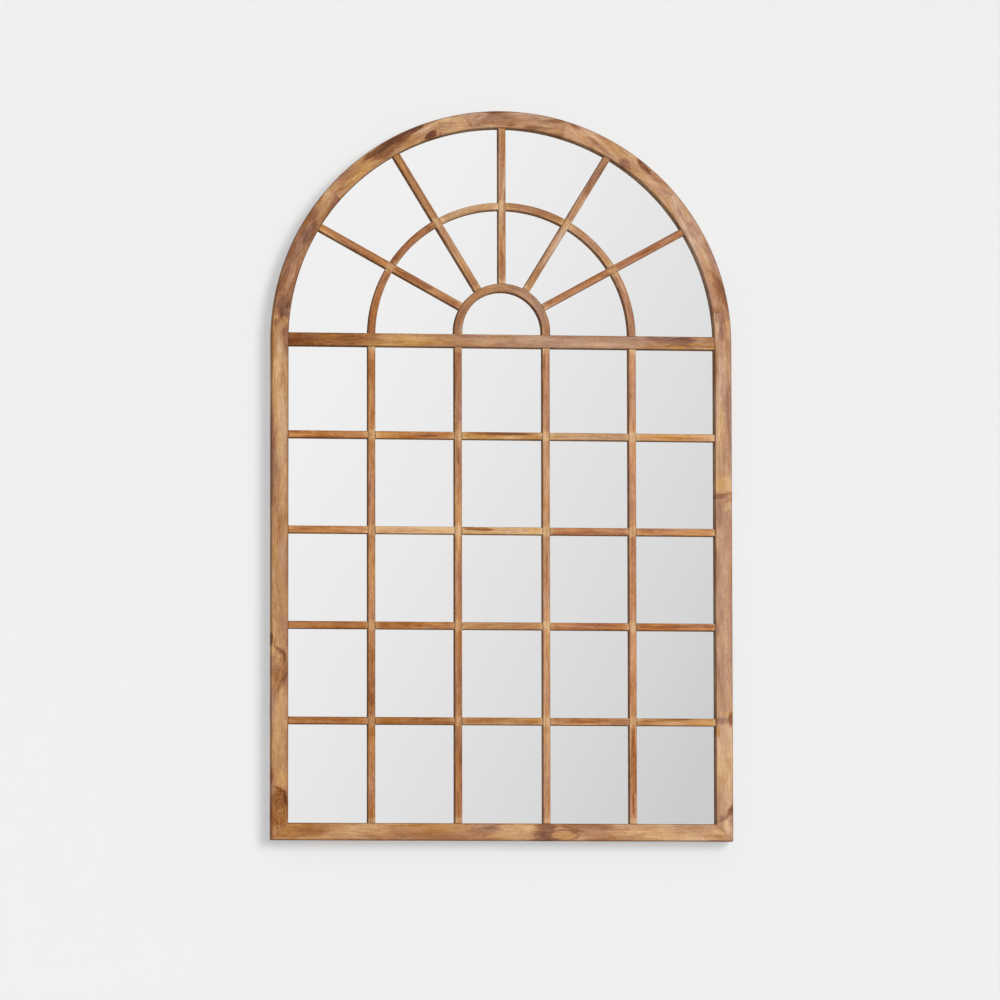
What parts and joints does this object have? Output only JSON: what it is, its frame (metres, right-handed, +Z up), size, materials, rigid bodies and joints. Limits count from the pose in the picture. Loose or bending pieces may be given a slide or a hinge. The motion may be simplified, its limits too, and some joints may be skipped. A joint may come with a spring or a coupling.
{
  "type": "arched window-pane wall mirror",
  "caption": "Arched wall mirror in a jointed wood frame, with window-pane glazing bars and a sunburst fanlight over one mirror sheet, hung on D-rings.",
  "frame": {"origin": "on the wall plane behind the mirror, on the centre line, level with the pivots of the two D-ring hangers", "axes": "+Z up along the height, +X to the right seen from the front, and the front faces -Y, so +Y points into the wall"},
  "size_m": [1.22, 0.046, 1.925],
  "materials": {
    "wood": "satin oiled hardwood, warm brown with darker streaks",
    "mirror": "silvered float glass",
    "backing_board": "plain brown fibreboard",
    "steel": "zinc plated",
    "rubber": "matt"
  },
  "bodies": {
    "mirror_frame": {"left_stile": "wood", "right_stile": "wood", "bottom_rail": "wood", "transom_rail": "wood", "arch_segment_1": "wood", "arch_segment_2": "wood", "arch_segment_3": "wood", "arch_segment_4": "wood", "arch_segment_5": "wood", "vertical_bar_1": "wood", "vertical_bar_2": "wood", "vertical_bar_3": "wood", "vertical_bar_4": "wood", "cross_bar_row1_col1": "wood", "cross_bar_row1_col2": "wood", "cross_bar_row1_col3": "wood", "cross_bar_row1_col4": "wood", "cross_bar_row1_col5": "wood", "cross_bar_row2_col1": "wood", "cross_bar_row2_col2": "wood", "cross_bar_row2_col3": "wood", "cross_bar_row2_col4": "wood", "cross_bar_row2_col5": "wood", "cross_bar_row3_col1": "wood", "cross_bar_row3_col2": "wood", "cross_bar_row3_col3": "wood", "cross_bar_row3_col4": "wood", "cross_bar_row3_col5": "wood", "cross_bar_row4_col1": "wood", "cross_bar_row4_col2": "wood", "cross_bar_row4_col3": "wood", "cross_bar_row4_col4": "wood", "cross_bar_row4_col5": "wood", "spoke_1": "wood", "spoke_2": "wood", "spoke_3": "wood", "spoke_4": "wood", "spoke_5": "wood", "fan_arc_1": "wood", "fan_arc_2": "wood", "fan_arc_3": "wood", "fan_arc_4": "wood", "fan_arc_5": "wood", "fan_arc_6": "wood", "hub_arc": "wood", "mirror_glass": "mirror", "backing_board": "backing_board", "left_bead": "wood", "right_bead": "wood", "bottom_bead": "wood", "left_hanger_strap": "steel", "left_strap_screw_upper": "steel", "left_strap_screw_lower": "steel", "right_hanger_strap": "steel", "right_strap_screw_upper": "steel", "right_strap_screw_lower": "steel", "left_wall_bumper": "rubber", "right_wall_bumper": "rubber"},
    "left_ring": {"left_hanger_ring": "steel"},
    "right_ring": {"right_hanger_ring": "steel"}
  },
  "joints": [
    {"name": "left_ring_pivot", "type": "hinge", "parent": "mirror_frame", "child": "left_ring", "pos_m": [-0.595, -0.0042, 0], "axis": [1, 0, 0], "range_deg": [0, 180]},
    {"name": "right_ring_pivot", "type": "hinge", "parent": "mirror_frame", "child": "right_ring", "pos_m": [0.595, -0.0042, 0], "axis": [1, 0, 0], "range_deg": [0, 180]}
  ]
}
